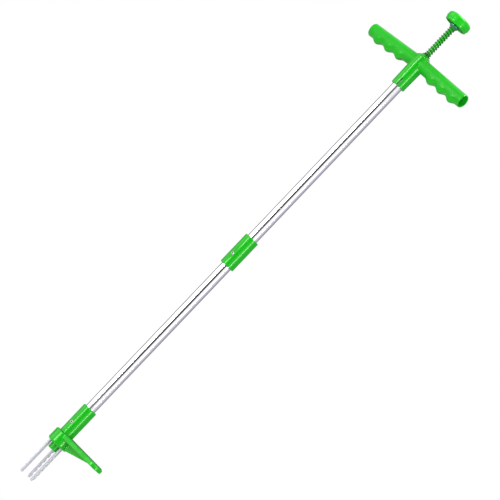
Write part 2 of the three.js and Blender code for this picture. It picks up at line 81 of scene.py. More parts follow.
BAR_R = 10.0
BAR_DROOP = 2.0  # each half of the handle bar
BAR_SHORT = 0.4  # the bar stays this much inside the CAD bar's end
BAR_STEPS = 150
BAR_SIDES = 72
BAR_EDGE = 1.2
BAR_BORE = 8.5
BAR_BORE_START = 14.0
BAR_BORE_EDGE = 1.0
GRIP_PITCH = 21.4
GRIP_FIRST = 33.0
GRIP_DEPTH = 3.9
GRIP_COUNT = 3
GRIP_POWER = 1.2  # over 1, so that the ridges are narrower than the hollows
COLLAR_R = 11.5
COLLAR_END_R = 10.9
COLLAR_LOW_EDGE = 0.6
COLLAR_BEND = 2.0
BOSS_R = 6.2
BOSS_EDGE = 0.8
SHOULDER = 4.7
SHOULDER_EDGE = 1.2
SLOT_COUNT = 4
SLOT_W = 2.2
SLOT_L = 12.0
SLOT_TURN = 20.0
HANDLE_SKIN_STEP = 0.45
HANDLE_SCREW_TURN = 90.0

KNOB_SHRINK = 0.05  # the knob stays this much inside the CAD knob
KNOB_DOME = 8.3
KNOB_BAND = 4.6  # from the knob's underside up to the line round its side
KNOB_LIP_EDGE = 0.6
KNOB_ROOF = 5.0  # from the knob's top down to the end of the stem's hole

CUP_FOOT_R = 5.6
CUP_BAND = 1.6
SPRING_TURNS = 13
SPRING_CLOSED = 0.8  # turns that lie closed at each end
SPRING_ROOM = 0.1
SPRING_R = 4.4
WIRE_R = 0.6

SLEEVE_EDGE = 2.4
SLEEVE_SEAT_EDGE = 0.3
TUBE_STOP = 0.8  # half the thickness of the coupling's inner ring
SPIGOT_BORE = 7.7
SPIGOT_R = 9.7
SPIGOT_LENGTH = 4.9
SOCKET_TOP_EDGE = 2.6
SLEEVE_BEVEL = 0.25

SCREW_HEAD_R = 2.1
SCREW_HEAD_HEIGHT = 1.1
SCREW_SINK = 0.6  # how far the head's seat lies under the sleeve's skin
SCREW_WELL_DEPTH = 0.9
SCREW_SHANK_R = 1.4
SCREW_SHANK_IN = 0.4  # the shank's end past the tube's inner wall
SCREW_SOCKET_R = 1.25
SCREW_SOCKET_DEPTH = 2.2
COUPLING_SCREW_TURN = -90.0
HEAD_SCREW_TURN = -98.0

HUB_LEDGE = 1.8  # the deck's circle round the hub is this much smaller than the hub
HUB_LOW_EDGE = 3.0
HUB_TOP_EDGE = 2.2
HUB_SEAT_R = 10.0
HUB_BORE = 7.6
PEDAL_TIP_R = 13.0
PEDAL_TIP_X = 67.0
PEDAL_ROOT_SIDE = 6.8
PEDAL_TIP_SIDE = 6.0
PEDAL_SKIN = 2.6
PEDAL_RIM = 2.2
PEDAL_LOW_EDGE = 0.9
PEDAL_TOP_EDGE = 1.6
PEDAL_SKIN_STEP = 0.42
TREAD_RISE = 0.8
TREAD_INSET = 2.0
TREAD_START = 12.0
TREAD_FOOT = 0.6  # how deep the tread is sunk into the deck
TREAD_BACK = 6.0
RIB_FIRST = 5.5  # from the tread's start to the middle of its first groove
RIB_PITCH = 4.2
GROOVE_TOP = 1.1  # half the groove's width at the top
GROOVE_FLOOR = 0.7  # half the groove's width at the floor
GROOVE_DEPTH = 0.55
GUSSET_X = 59.0
GUSSET_THICK = 3.4
GUSSET_RISE = 1.5

EJECTOR_NECK_Z = -698.2
EJECTOR_NECK_R = 5.6
EJECTOR_CONE = 1.6
EJECTOR_SCREW_BORE = 2.2
EJECTOR_WELL_R = 3.7
EJECTOR_WELL_DEPTH = 3.6
DRIVE_HEAD_R = 3.3
DRIVE_SEAT_R = 3.4
DRIVE_SEAT = 2.3
DRIVE_SHANK_R = 1.9
DRIVE_SHANK = 13.9
DRIVE_TAPER = 14.2
DRIVE_CORE_R = 1.0
DRIVE_SLOT_HALF = 2.2
DRIVE_SLOT_SIDE = 0.45
DRIVE_SLOT_DEPTH = 1.2

CLAW_COUNT = 3
CLAW_R = 8.35
CLAW_TURN = -11.0
CLAW_THICK = 1.2
CLAW_POCKET = 0.25
CLAW_BEVEL = 0.16
TOOTH_FLANK = 4.6
PLAIN_FLANK = 5.2
TOOTH_FLANK_TURN = -25.0
PLAIN_FLANK_TURN = 35.0
TOOTH_COUNT = 5
TOOTH_PITCH = 8.8
TOOTH_DEPTH = 1.9
TOOTH_R = 2.3
TOOTH_SIDES = 12
TOOTH_FIRST = 44.3  # the first notch's height over the claw's tip
CLAW_TIP_R = 1.4
CLAW_TIP_LENGTH = 4.2


def box_mm(node):
    low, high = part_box(node)
    return low / MM, high / MM


# ---- mesh helpers ----

def new_piece(name, points, faces):
    mesh = bpy.data.meshes.new(name)
    mesh.from_pydata([[c * MM for c in p] for p in points], [], faces)
    mesh.update()
    piece = bpy.data.objects.new(name, mesh)
    bpy.context.scene.collection.objects.link(piece)
    return piece


def bake(piece):
    """Applies the piece's modifiers to its mesh."""
    graph = bpy.context.evaluated_depsgraph_get()
    mesh = bpy.data.meshes.new_from_object(piece.evaluated_get(graph))
    piece.modifiers.clear()
    old = piece.data
    piece.data = mesh
    bpy.data.meshes.remove(old)


def combine(piece, tools, operation):
    for tool in tools:
        change = piece.modifiers.new("combine", "BOOLEAN")
        change.operation = operation
        change.solver = "EXACT"
        change.object = tool
        bake(piece)
        bpy.data.objects.remove(tool)


def cut(piece, *tools):
    combine(piece, tools, "DIFFERENCE")


def join(piece, *tools):
    combine(piece, tools, "UNION")


def soften(piece, skin_step):
    """Rebuilds the piece as one even skin, so that its edges and inner corners are slightly rounded."""
    skin = piece.modifiers.new("skin", "REMESH")
    skin.mode = "VOXEL"
    skin.voxel_size = skin_step * MM
    smooth = piece.modifiers.new("smooth", "SMOOTH")
    smooth.factor = 0.5
    smooth.iterations = 3
    bake(piece)
    piece.data.shade_smooth()


def bevel(piece, width, segments=2, angle=30):
    edge = piece.modifiers.new("bevel", "BEVEL")
    edge.width = width * MM
    edge.segments = segments
    edge.limit_method = "ANGLE"
    edge.angle_limit = math.radians(angle)
    edge.harden_normals = False
    bake(piece)
    shade(piece)


def shade(piece, angle=35):
    piece.data.shade_smooth()
    piece.data.set_sharp_from_angle(angle=math.radians(angle))
    return piece


def turn_piece(piece, matrix):
    piece.data.transform(matrix)
    return piece


def turned_z(degrees):
    return Matrix.Rotation(math.radians(degrees), 4, "Z")


def rounded(corners, closed, steps=5):
    """The outline through (r, z, fillet) corners, each replaced by an arc of its fillet's radius."""
    most = 0.49  # of a side's length that one fillet can take
    line = []
    count = len(corners)
    for i, corner in enumerate(corners):
        here = Vector(corner[:2])
        fillet = corner[2] if len(corner) > 2 else 0
        if fillet == 0 or (not closed and i in (0, count - 1)):
            line.append(here)
            continue
        before = Vector(corners[i - 1][:2]) - here
        after = Vector(corners[(i + 1) % count][:2]) - here
        half = before.angle(after) / 2
        back = min(fillet / math.tan(half), most * before.length, most * after.length)
        radius = back * math.tan(half)
        middle = (before.normalized() + after.normalized()).normalized()
        centre = here + middle * (radius / math.sin(half))
        start = here + before.normalized() * back - centre
        end = here + after.normalized() * back - centre
        sweep = math.copysign(math.pi - 2 * half, start.x * end.y - start.y * end.x)
        for k in range(steps + 1):
            turn = sweep * k / steps
            cos, sin = math.cos(turn), math.sin(turn)
            arm = Vector((start.x * cos - start.y * sin, start.x * sin + start.y * cos))
            line.append(centre + arm)
    return line


def lathe(name, corners, sides=96, steps=5):
    """A round piece about Z. Its outline starts and ends on the axis, or it is closed."""
    closed = corners[0][0] > 0
    on_axis = 1e-6
    points, rings = [], []
    for p in rounded(corners, closed, steps):
        if p.x < on_axis:
            rings.append([len(points)] * sides)
            points.append((0, 0, p.y))
            continue
        rings.append(list(range(len(points), len(points) + sides)))
        for k in range(sides):
            turn = 2 * math.pi * k / sides
            points.append((p.x * math.cos(turn), p.x * math.sin(turn), p.y))
    faces = []
    pairs = list(zip(rings, rings[1:])) + ([(rings[-1], rings[0])] if closed else [])
    for a, b in pairs:
        for k in range(sides):
            n = (k + 1) % sides
            face = list(dict.fromkeys((a[k], a[n], b[n], b[k])))
            if len(face) > 2:
                faces.append(face)
    piece = new_piece(name, points, faces)
    face_out(piece)
    return shade(piece)


def face_out(piece):
    """Turns all faces round when the closed mesh is inside out."""
    total = 0
    mesh = piece.data
    mesh.calc_loop_triangles()
    for tri in mesh.loop_triangles:
        a, b, c = (mesh.vertices[v].co for v in tri.vertices)
        total += a.dot(b.cross(c))
    if total < 0:
        mesh.flip_normals()


def loft(name, rings):
    """A closed piece through rings of as many points each, with a flat cap at both ends."""
    sides = len(rings[0])
    points = [p for ring in rings for p in ring]
    faces = [list(range(sides))[::-1], [len(points) - sides + k for k in range(sides)]]
    for i in range(len(rings) - 1):
        here, above = i * sides, (i + 1) * sides
        for k in range(sides):
            n = (k + 1) % sides
            faces.append([here + k, here + n, above + n, above + k])
    piece = new_piece(name, points, faces)
    face_out(piece)
    return piece


def slab(name, x0, x1, y0, y1, z0, z1):
    ring = [(x0, y0), (x1, y0), (x1, y1), (x0, y1)]
    return loft(name, [[(x, y, z) for x, y in ring] for z in (z0, z1)])


def pin(name, radius, z0, z1, sides=48):
    return lathe(name, [(0, z0), (radius, z0), (radius, z1), (0, z1)], sides)


def sideways(piece, direction, z):
    """Lays a piece made along +Z along a direction in the XY plane, at a height."""
    along = Vector((0, 0, 1)).rotation_difference(Vector(direction)).to_matrix().to_4x4()
    return turn_piece(piece, Matrix.Translation((0, 0, z * MM)) @ along)


# ---- materials ----

def nodes_of(name):
    material = bpy.data.materials.new(name)
    material.use_nodes = True
    tree = material.node_tree
    return material, tree, tree.nodes["Principled BSDF"]


def node(tree, kind, **sockets):
    made = tree.nodes.new(kind)
    for key, value in sockets.items():
        made.inputs[key.replace("_", " ")].default_value = value
    return made


def noise_at(tree, scale, stretch=(1, 1, 1), detail=3.0, rough=0.55):
    """Noise over the piece's own place, in metres; stretch scales it along X, Y and Z."""
    place = tree.nodes.new("ShaderNodeTexCoord")
    size = tree.nodes.new("ShaderNodeMapping")
    size.inputs["Scale"].default_value = stretch
    texture = node(tree, "ShaderNodeTexNoise", Scale=scale, Detail=detail, Roughness=rough)
    tree.links.new(place.outputs["Object"], size.inputs["Vector"])
    tree.links.new(size.outputs["Vector"], texture.inputs["Vector"])
    return texture.outputs["Fac"]


def between(tree, value, low, high, start=0.3, end=0.7):
    """Maps a noise value onto a range."""
    made = node(tree, "ShaderNodeMapRange")
    limits = {"From Min": start, "From Max": end, "To Min": low, "To Max": high}
    for key, number in limits.items():
        made.inputs[key].default_value = number
    tree.links.new(value, made.inputs["Value"])
    return made.outputs["Result"]


def blend_colour(tree, value, first, second):
    made = tree.nodes.new("ShaderNodeMix")
    made.data_type = "RGBA"
    made.inputs["A"].default_value = (*first, 1)
    made.inputs["B"].default_value = (*second, 1)
    tree.links.new(value, made.inputs["Factor"])
    return made


def bump(tree, shader, layers):
    """Adds bump layers, each (height socket, distance in metres, strength), one on top of the other."""
    last = None
    for height, distance, strength in layers:
        made = node(tree, "ShaderNodeBump", Distance=distance, Strength=strength)
        tree.links.new(height, made.inputs["Height"])
        if last:
            tree.links.new(last.outputs["Normal"], made.inputs["Normal"])
        last = made
    tree.links.new(last.outputs["Normal"], shader.inputs["Normal"])


def edge_value(tree):
    """1 on the piece's sharp outer edges, 0 on its flats."""
    flat, sharp = 0.5, 0.62
    shape = tree.nodes.new("ShaderNodeNewGeometry")
    return between(tree, shape.outputs["Pointiness"], 0, 1, flat, sharp)


GREEN_GLOSS = (0.6, 1, 0.52, 1)
WHITE_GLOSS = (1, 1, 1, 1)


def moulded_plastic(name, colour, deep, pale, gloss=0.2, tint=GREEN_GLOSS):
    """Injection-moulded plastic: slow colour drift, fine speckle, orange-peel skin, and a pale painted
    highlight on its sharp edges.
    """
    material, tree, shader = nodes_of(name)
    drift = blend_colour(tree, between(tree, noise_at(tree, 38, detail=2), 0, 1), colour, deep)
    speckle = between(tree, noise_at(tree, 1700, detail=2), 0, 0.16, 0.5, 0.75)
    flecked = blend_colour(tree, speckle, colour, pale)
    tree.links.new(drift.outputs["Result"], flecked.inputs["A"])
    # paler colour on the sharp edges: a painted highlight where the edges catch the light
    edge_highlight = blend_colour(tree, between(tree, edge_value(tree), 0, 0.22, 0, 1), colour, pale)
    tree.links.new(flecked.outputs["Result"], edge_highlight.inputs["A"])
    tree.links.new(edge_highlight.outputs["Result"], shader.inputs["Base Color"])
    rub = between(tree, noise_at(tree, 120, detail=5, rough=0.7), gloss - 0.05, gloss + 0.08)
    tree.links.new(rub, shader.inputs["Roughness"])
    shader.inputs["IOR"].default_value = 1.5
    shader.inputs["Specular Tint"].default_value = tint
    sink_marks = noise_at(tree, 55, detail=1)
    orange_peel = noise_at(tree, 900, detail=2)
    bump(tree, shader, [(sink_marks, 0.0002, 0.15), (orange_peel, 0.00001, 0.2)])
    return material


EVEN_GRAIN = (1, 1, 1)
SHORT_GRAIN = (1, 1, 0.25)
DRAWN_GRAIN = (1, 1, 0.03)


def steel(name, colour, dull, low, high, scale=2600, grain=DRAWN_GRAIN, grain_depth=0.000012):
    """Metal of a roughness from low to high, with a grain, slow dull patches and a slight waviness."""
    material, tree, shader = nodes_of(name)
    shader.inputs["Metallic"].default_value = 1.0
    patches = between(tree, noise_at(tree, 24, detail=4), 0, 0.5, 0.35, 0.75)
    tone = blend_colour(tree, patches, colour, dull)
    tree.links.new(tone.outputs["Result"], shader.inputs["Base Color"])
    lines = noise_at(tree, scale, grain, detail=4, rough=0.6)
    tree.links.new(between(tree, lines, low, high), shader.inputs["Roughness"])
    waviness = noise_at(tree, 18, detail=1)
    bump(tree, shader, [(lines, grain_depth, 0.5), (waviness, 0.0002, 0.03)])
    return material


def make_materials():
    return {
        "green": moulded_plastic(
            "moulded_green", (0.003, 0.31, 0.005), (0.003, 0.285, 0.004), (0.008, 0.35, 0.009)),
        "knob": moulded_plastic(
            "knob_green", (0.003, 0.38, 0.005), (0.003, 0.355, 0.004), (0.008, 0.41, 0.009), 0.24),
        # a darker copy of the knob's plastic: painted shade under the pedal's hub
        "ejector": moulded_plastic(
            "ejector_green_painted_shade", (0.003, 0.30, 0.006), (0.002, 0.27, 0.005), (0.008, 0.34, 0.010), 0.26),
        # paler green inside the handle bar's bores: painted light that lifts the shade in the deep holes
        "bore": moulded_plastic(
            "bore_green_painted_light", (0.006, 0.50, 0.012), (0.005, 0.46, 0.010), (0.012, 0.55, 0.016), 0.5),
        # a much darker copy of the pedal's green: painted shade on the deck's top
        "tread": moulded_plastic(
            "tread_green_painted_shade", (0.004, 0.17, 0.008), (0.003, 0.15, 0.006), (0.015, 0.22, 0.015), 0.42),
        "bush": moulded_plastic(
            "natural_white", (0.62, 0.62, 0.58), (0.56, 0.56, 0.52), (0.75, 0.75, 0.72), 0.45, WHITE_GLOSS),
        "tube": steel("polished_tube", (0.88, 0.88, 0.90), (0.80, 0.80, 0.83), 0.05, 0.11),
        "claw": steel(
            "stamped_steel", (0.57, 0.575, 0.61), (0.50, 0.505, 0.54), 0.72, 0.82, 900,
            SHORT_GRAIN, 0.00001),
        # dark steel whose green tint is a painted reflection of the green stem inside the spring
        "spring": steel(
            "dark_steel_painted_green_reflection", (0.030, 0.085, 0.036), (0.018, 0.05, 0.022), 0.30, 0.46, 600, EVEN_GRAIN),
        # plated steel kept dark as painted shade under the knob, with a green tint that is partly a painted
        # reflection of the knob
        "cup": steel("plated_cup_painted_shade_and_reflection", (0.07, 0.27, 0.16), (0.05, 0.2, 0.12), 0.2, 0.35, 600, EVEN_GRAIN),
        "rod": steel("drawn_rod", (0.55, 0.56, 0.57), (0.42, 0.43, 0.44), 0.22, 0.4),
        # near-black steel for the screws' sockets: painted shade in the deep recess
        "socket": steel(
            "socket_painted_shade", (0.004, 0.006, 0.004), (0.002, 0.003, 0.002), 0.5, 0.7, 800, EVEN_GRAIN),
        "screw": steel(
            "plated_screw", (0.52, 0.53, 0.52), (0.42, 0.43, 0.42), 0.30, 0.44, 800, EVEN_GRAIN),
    }


MATERIALS = make_materials()


def place(piece, material, slot, body, *nodes):
    """Gives the piece its material and body, and hides the CAD nodes that it stands for. The slot is not
    used.
    """
    piece.data.materials.clear()
    piece.data.materials.append(MATERIALS[material])
    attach(piece, body)
    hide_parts(*nodes)


# ---- T handle ----

def grip_depth(x):
    """How far the bar's lower side is drawn down, at a distance along the bar."""
    last = GRIP_FIRST + (GRIP_COUNT - 1) * GRIP_PITCH
    if not GRIP_FIRST - GRIP_PITCH / 2 < x < last + GRIP_PITCH / 2:
        return 0.0
    wave = 0.5 + 0.5 * math.cos(2 * math.pi * (x - GRIP_FIRST) / GRIP_PITCH)
    return GRIP_DEPTH * wave ** GRIP_POWER


def bar_half(length, turn):
    """One half of the handle bar, with finger grips below and a round edge at its end."""
    end_steps = 5
    straight_end = length - BAR_EDGE
    stops = [length * k / BAR_STEPS for k in range(BAR_STEPS)]
    stops = [x for x in stops if x < straight_end]
    stops += [length - BAR_EDGE * (1 - math.sin(math.pi / 2 * k / end_steps)) for k in range(end_steps + 1)]
    rings = []
    for x in stops:
        pull = max(0.0, x - straight_end) / BAR_EDGE
        radius = BAR_R - BAR_EDGE * (1 - math.sqrt(max(0.0, 1 - pull * pull)))
        ring = []
        for k in range(BAR_SIDES):
            a = 2 * math.pi * k / BAR_SIDES
            z = radius * math.sin(a)
            if z < 0:
                z *= 1 + grip_depth(x) / BAR_R
            ring.append((x, radius * math.cos(a), z))
        rings.append(ring)
    half = loft("bar_half", rings)
    droop = Matrix.Rotation(math.radians(BAR_DROOP), 4, "Y")
    return turn_piece(half, turned_z(turn) @ droop)


def t_handle():
    low, high = box_mm("t_handle")
    bar_length = high.x - BAR_SHORT
    tube_top = box_mm("upper_tube")[1].z
    body = lathe("t_handle_moulding", [
        (0, low.z),
        (COLLAR_END_R, low.z, COLLAR_LOW_EDGE),
        (COLLAR_R, -BAR_R, COLLAR_BEND),
        (COLLAR_R, high.z - SHOULDER, SHOULDER_EDGE),
        (BOSS_R, high.z, BOSS_EDGE),
        (0, high.z),
    ])
    join(body, bar_half(bar_length, 0), bar_half(bar_length, 180))
    hollows = [
        pin("tube_seat", TUBE_R + FIT, low.z - 2 * PAST, tube_top + FIT),
        pin("stem_hole", STEM_BORE + STEM_ROOM, tube_top - PAST, high.z + 2 * PAST),
    ]
    for turn in (0, 180):
        core = lathe("bar_core", [
            (0, BAR_BORE_START),
            (BAR_BORE, BAR_BORE_START, BAR_BORE_EDGE),
            (BAR_BORE, bar_length + 3 * PAST),
            (0, bar_length + 3 * PAST),
        ], 64)
        lean = Matrix.Rotation(math.radians(90 + BAR_DROOP), 4, "Y")
        hollows.append(turn_piece(core, turned_z(turn) @ lean))
    for k in range(SLOT_COUNT):
        slot = slab("collar_slot", TUBE_R - PAST, COLLAR_R + 2 * PAST, -SLOT_W / 2, SLOT_W / 2,
                    low.z - PAST, low.z + SLOT_L)
        hollows.append(turn_piece(slot, turned_z(SLOT_TURN + 360 / SLOT_COUNT * k)))
    hollows.append(screw_well(COLLAR_R, "handle_screw", HANDLE_SCREW_TURN))
    cut(body, *hollows)
    soften(body, HANDLE_SKIN_STEP)
    place(body, "green", "green_plastic", FRAME, "t_handle")
    paint_light_in_bores(body)


def paint_light_in_bores(body):
    """Gives the walls of the bar's two bores a paler green, painted light that brightens the deep bores,
    and the matt finish of an unpolished core.
    """
    body.data.materials.append(MATERIALS["bore"])
    droop = math.tan(math.radians(BAR_DROOP))
    start, wall = BAR_BORE_START - 1, BAR_BORE + 0.2
    for face in body.data.polygons:
        x, y, z = face.center / MM
        if abs(x) > start and math.hypot(y, z + abs(x) * droop) < wall:
            face.material_index = 1


# ---- knob, cup, spring, stem ----

def push_knob():
    low, high = box_mm("push_knob")
    r = high.x - KNOB_SHRINK
    cup_high = box_mm("spring_cup")[1]
    line_z = low.z + KNOB_BAND
    line_edge = 0.3
    dome = [
        (0, high.z),
        (r - 0.5, high.z - 0.3, KNOB_DOME),
        (r, line_z, line_edge),
    ]
    lip = [
        (r - 1, line_z - 1, line_edge),
        (r - 1.1, low.z + 1.4, 0.8),
        (r - 1.9, low.z, KNOB_LIP_EDGE),
        (r - 3.6, low.z, KNOB_LIP_EDGE),
    ]
    recess = [
        (r - 4.6, low.z + 3, 0.8),
        (cup_high.x + 1.2, low.z + 3.6, 0.6),
        (cup_high.x + 0.8, cup_high.z + FIT, 0.3),
    ]
    stem_hole = [
        (STEM_BORE, cup_high.z + FIT),
        (STEM_BORE, high.z - KNOB_ROOF),
        (0, high.z - KNOB_ROOF),
    ]
    knob = lathe("push_knob_moulding", dome + lip + recess + stem_hole, 128, 8)
    place(knob, "knob", "knob_plastic", PUSHER, "push_knob")


def spring_cup():
    low, high = box_mm("spring_cup")
    cup = lathe("spring_cup_metal", [
        (STEM_BORE, low.z, 0.1),
        (CUP_FOOT_R, low.z, 0.5),
        (high.x, high.z - CUP_BAND, 0.9),
        (high.x, high.z, 0.4),
        (STEM_BORE, high.z, 0.1),
    ], 72)
    place(cup, "cup", "spring_steel", PUSHER, "spring_cup")


def spring_height(turns, rise):
    """The wire's height after some turns: the end turns lie closed, the others share the rest."""
    tight = 2 * WIRE_R
    pitch = (rise - 2 * SPRING_CLOSED * tight) / (SPRING_TURNS - 2 * SPRING_CLOSED)
    if turns < SPRING_CLOSED:
        return tight * turns
    if turns > SPRING_TURNS - SPRING_CLOSED:
        return rise - tight * (SPRING_TURNS - turns)
    return tight * SPRING_CLOSED + pitch * (turns - SPRING_CLOSED)


def return_spring():
    low, high = box_mm("return_spring")
    per_turn, wire_sides = 30, 14
    rise = high.z - low.z - 2 * WIRE_R - 2 * SPRING_ROOM
    first_z = low.z + SPRING_ROOM + WIRE_R
    up = Vector((0, 0, 1))
    rings = []
    for i in range(SPRING_TURNS * per_turn + 1):
        turns = i / per_turn
        a = 2 * math.pi * turns
        outward = Vector((math.cos(a), -math.sin(a), 0))
        centre = outward * SPRING_R + up * (first_z + spring_height(turns, rise))
        ring = []
        for k in range(wire_sides):
            b = 2 * math.pi * k / wire_sides
            ring.append(tuple(centre + outward * (WIRE_R * math.cos(b)) + up * (WIRE_R * math.sin(b))))
        rings.append(ring)
    spring = loft("return_spring_wire", rings)
    shade(spring, 50)
    place(spring, "spring", "spring_steel", FRAME, "return_spring")
    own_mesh(spring)


# ---- round pieces whose outline is a plain ring or rod ----

def ring_piece(name, node_name, inner, fillet, material, slot, body, sides=72):
    low, high = box_mm(node_name)
    piece = lathe(name, [
        (inner, low.z, fillet / 2),
        (high.x, low.z, fillet),
        (high.x, high.z, fillet),
        (inner, high.z, fillet / 2),
    ], sides, 3)
    place(piece, material, slot, body, node_name)


def rod_piece(name, node_name, material, slot, body):
    fillet = 0.4
    low, high = box_mm(node_name)
    piece = lathe(name, [
        (0, low.z),
        (high.x, low.z, fillet),
        (high.x, high.z, fillet),
        (0, high.z),
    ], 48, 3)
    place(piece, material, slot, body, node_name)


def plain_round_pieces():
    for node_name in ("upper_tube", "lower_tube"):
        ring_piece(f"{node_name}_steel", node_name, TUBE_BORE, 0.3, "tube", "tube_steel", FRAME, 128)
    ring_piece("spring_washer_steel", "spring_washer", STEM_BORE + STEM_ROOM, 0.25,
               "spring", "spring_steel", FRAME)
    ring_piece("stem_sleeve_moulding", "stem_sleeve", ROD_BORE, 0.3, "green", "green_plastic", PUSHER)
    ring_piece("handle_bush_moulding", "handle_guide_bush", STEM_BORE, 0.6, "bush", "bush_plastic", FRAME)
    ring_piece("middle_bush_moulding", "middle_guide_bush", ROD_BORE, 0.8, "bush", "bush_plastic", FRAME)
    ring_piece("head_bush_moulding", "head_guide_bush", ROD_BORE, 0.8, "bush", "bush_plastic", FRAME)
    ring_piece("stop_clip_steel", "stop_clip", ROD_BORE, 0.3, "spring", "spring_steel", PUSHER)
    ring_piece("rod_coupler_steel", "rod_coupler", ROD_BORE, 0.6, "rod", "rod_steel", PUSHER)
    for node_name in ("upper_push_rod", "lower_push_rod"):
        rod_piece(f"{node_name}_steel", node_name, "rod", "rod_steel", PUSHER)


# ---- coupling and head socket ----

def direction_at(degrees):
    return math.cos(math.radians(degrees)), math.sin(math.radians(degrees)), 0


def screw_well(sleeve_r, screw_node, degrees):
    """The hole in a sleeve's skin that a screw's head sits in."""
    low, high = box_mm(screw_node)
    well = pin("screw_well", SCREW_HEAD_R + FIT, sleeve_r - SCREW_WELL_DEPTH, sleeve_r + 4 * PAST)
    return sideways(well, direction_at(degrees), (low.z + high.z) / 2)


def tube_coupling():
    low, high = box_mm("tube_coupling")
    r, seat_r = high.x, TUBE_R + FIT
    middle = (low.z + high.z) / 2
    sleeve = lathe("tube_coupling_moulding", [
        (seat_r, low.z, SLEEVE_SEAT_EDGE),
        (r, low.z, SLEEVE_EDGE),
        (r, high.z, SLEEVE_EDGE),
        (seat_r, high.z, SLEEVE_SEAT_EDGE),
        (seat_r, middle + TUBE_STOP),
        (TUBE_BORE, middle + TUBE_STOP),
        (TUBE_BORE, middle - TUBE_STOP),
        (seat_r, middle - TUBE_STOP),
    ], 128, 8)
    cut(sleeve, screw_well(r, "coupling_screw", COUPLING_SCREW_TURN))
    bevel(sleeve, SLEEVE_BEVEL)
    place(sleeve, "green", "green_plastic", FRAME, "tube_coupling")


def head_socket():
    low, high = box_mm("head_socket")
    tube_end = box_mm("lower_tube")[0].z
    r, seat_r = high.x, TUBE_R + FIT
    shoulder = low.z + SPIGOT_LENGTH
    sleeve = lathe("head_socket_moulding", [
        (SPIGOT_BORE, low.z, SLEEVE_SEAT_EDGE),
        (SPIGOT_R, low.z, 0.5),
        (SPIGOT_R, shoulder),
        (r, shoulder, 0.5),
        (r, high.z, SOCKET_TOP_EDGE),
        (seat_r, high.z, SLEEVE_SEAT_EDGE),
        (seat_r, tube_end - FIT),
        (SPIGOT_BORE, tube_end - FIT),
    ], 128, 8)
    cut(sleeve, screw_well(r, "head_screw", HEAD_SCREW_TURN))
    bevel(sleeve, SLEEVE_BEVEL)
    place(sleeve, "green", "green_plastic", FRAME, "head_socket")


def screw(name, node_name, sleeve_r, degrees):
    low, high = box_mm(node_name)
    z = (low.z + high.z) / 2
    shank_end = TUBE_BORE - SCREW_SHANK_IN
    seat = sleeve_r - SCREW_SINK
    top = seat + SCREW_HEAD_HEIGHT
    floor = top - SCREW_SOCKET_DEPTH
    head = lathe(name, [
        (0, shank_end),
        (SCREW_SHANK_R, shank_end, 0.2),
        (SCREW_SHANK_R, seat),
        (SCREW_HEAD_R, seat, 0.2),
        (SCREW_HEAD_R, top, 0.5),
        (SCREW_SOCKET_R, top, 0.12),
        (SCREW_SOCKET_R, floor, 0.1),
        (0, floor),
    ], 48, 4)
    sideways(head, direction_at(degrees), z)
    place(head, "screw", "screw_steel", FRAME, node_name)
    socket_painted_shade(head, Vector(direction_at(degrees)), z, floor)


def socket_painted_shade(head, along, z, floor):
    """Gives the socket's own faces a near-black colour, painted shade in the deep hole."""
    head.data.materials.append(MATERIALS["socket"])
    lowest, widest = floor - 0.2, SCREW_SOCKET_R + 0.02
    for face in head.data.polygons:
        centre = face.center / MM - Vector((0, 0, z))
        height = centre.dot(along)
        if height > lowest and (centre - along * height).length < widest:
            face.material_index = 1


# ---- pedal ----

def pedal_ring(hub, tip, z):
    """The pedal's outline at one height: the hub's circle, the tip's circle and their tangents."""
    steps, straight = 40, 30
    lean = math.acos((hub - tip) / PEDAL_TIP_X)
    ring = []
    for k in range(steps + 1):
        a = lean + (2 * math.pi - 2 * lean) * k / steps
        ring.append((hub * math.cos(a), hub * math.sin(a), z))
    last = Vector(ring[-1])
    first_tip = Vector((PEDAL_TIP_X + tip * math.cos(-lean), tip * math.sin(-lean), z))
    ring += [tuple(last.lerp(first_tip, k / straight)) for k in range(1, straight)]
    for k in range(steps + 1):
        a = -lean + 2 * lean * k / steps
        ring.append((PEDAL_TIP_X + tip * math.cos(a), tip * math.sin(a), z))
    end_tip = Vector(ring[-1])
    first = Vector(ring[0])
    ring += [tuple(end_tip.lerp(first, k / straight)) for k in range(1, straight)]
    return ring


def rounded_plate(name, hub, tip, low, high, low_edge, top_edge):
    """A plate with the pedal's outline and round upper and lower edges."""
    steps = 4
    turns = [math.pi / 2 * k / steps for k in range(steps + 1)]
    rings = []
    for a in turns:
        inset = low_edge * (1 - math.sin(a))
        rings.append(pedal_ring(hub - inset, tip - inset, low + low_edge * (1 - math.cos(a))))
    for a in turns:
        inset = top_edge * (1 - math.cos(a))
        rings.append(pedal_ring(hub - inset, tip - inset, high - top_edge * (1 - math.sin(a))))
    return loft(name, rings)


def taper_side(piece, top):
    """Makes the plate's side lower towards the tip, by moving its points towards the top face."""
    for v in piece.data.vertices:
        share = min(1.0, max(0.0, v.co.x / MM / PEDAL_TIP_X))
        side = PEDAL_ROOT_SIDE + (PEDAL_TIP_SIDE - PEDAL_ROOT_SIDE) * share
        v.co.z = top * MM - (top * MM - v.co.z) * side / PEDAL_ROOT_SIDE


